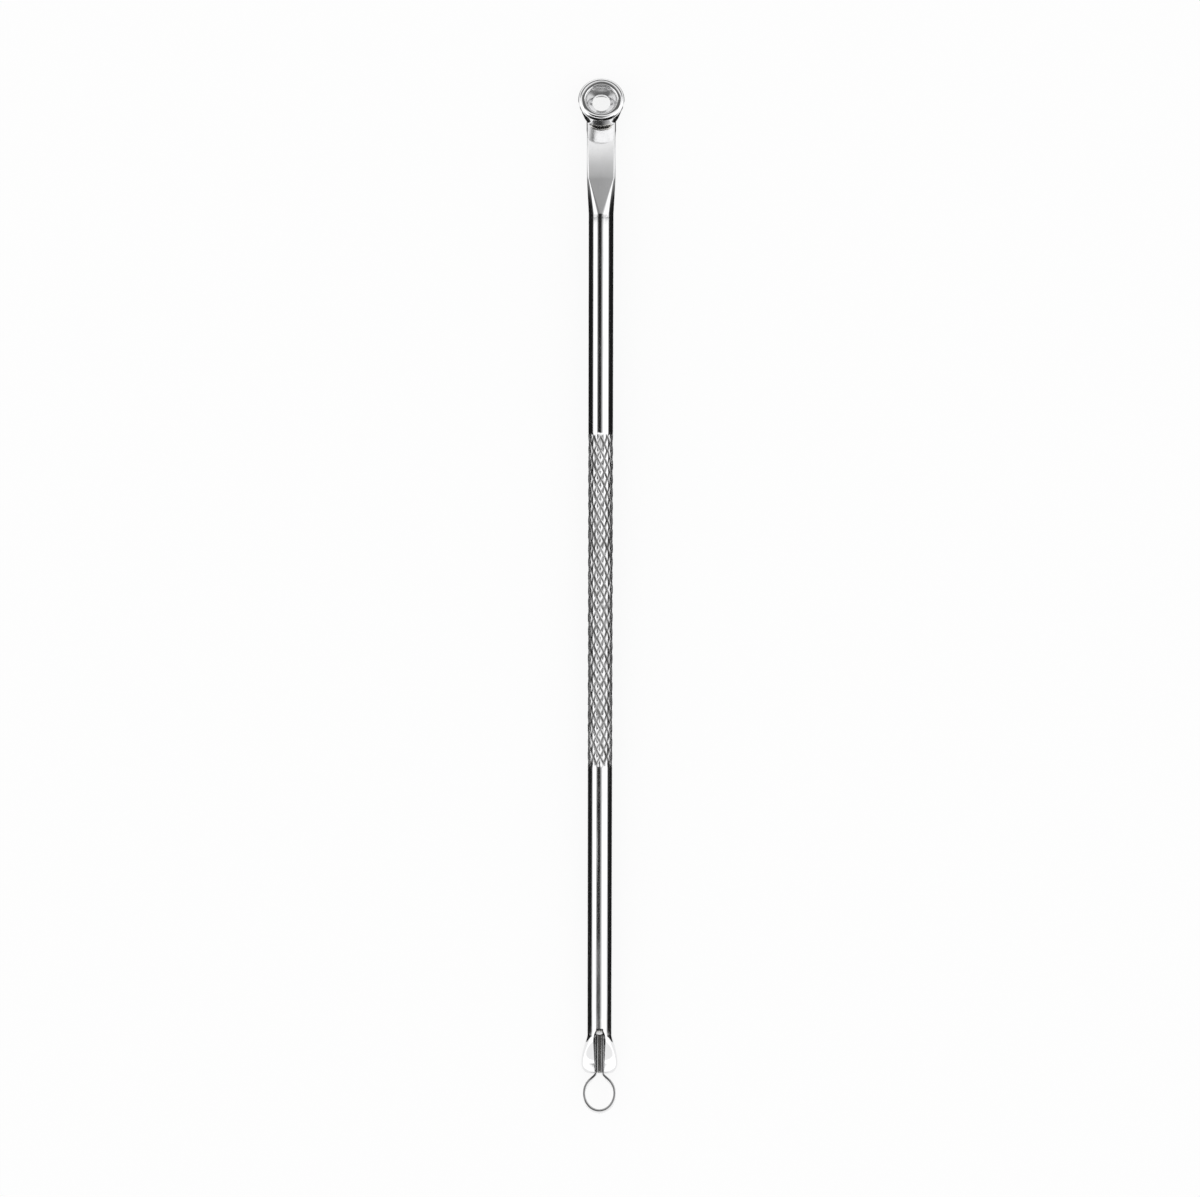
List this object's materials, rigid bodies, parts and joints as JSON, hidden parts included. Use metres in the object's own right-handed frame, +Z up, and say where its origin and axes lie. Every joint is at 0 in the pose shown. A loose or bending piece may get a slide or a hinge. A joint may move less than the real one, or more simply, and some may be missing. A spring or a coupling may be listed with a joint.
{
  "type": "blackhead extractor",
  "caption": "Slim steel skin tool with a knurled grip, a deep round cup with a hole at one end and a small ribbon loop at the other.",
  "frame": {"origin": "on the surface that the tool lies on, under the middle of its bounding box", "axes": "+Z up, out of the side that the cup opens to; +Y along the tool towards the cup; +X to the right when looking down with the cup at the top"},
  "size_m": [0.0054, 0.1217, 0.0051],
  "materials": {
    "rod_steel": "polished stainless steel rod with fine grinding lines, and a rolled diamond knurl with darker grooves",
    "cup_steel": "turned and polished stainless steel with faint concentric tool marks",
    "braze": "silver brazing metal, slightly duller and warmer than the steel",
    "spring_ribbon": "bright drawn stainless steel ribbon with rounded edges"
  },
  "bodies": {
    "root": {"handle": "rod_steel", "extractor_cup": "cup_steel", "cup_braze": "braze", "ribbon_loop": "spring_ribbon", "loop_braze": "braze"}
  },
  "joints": []
}
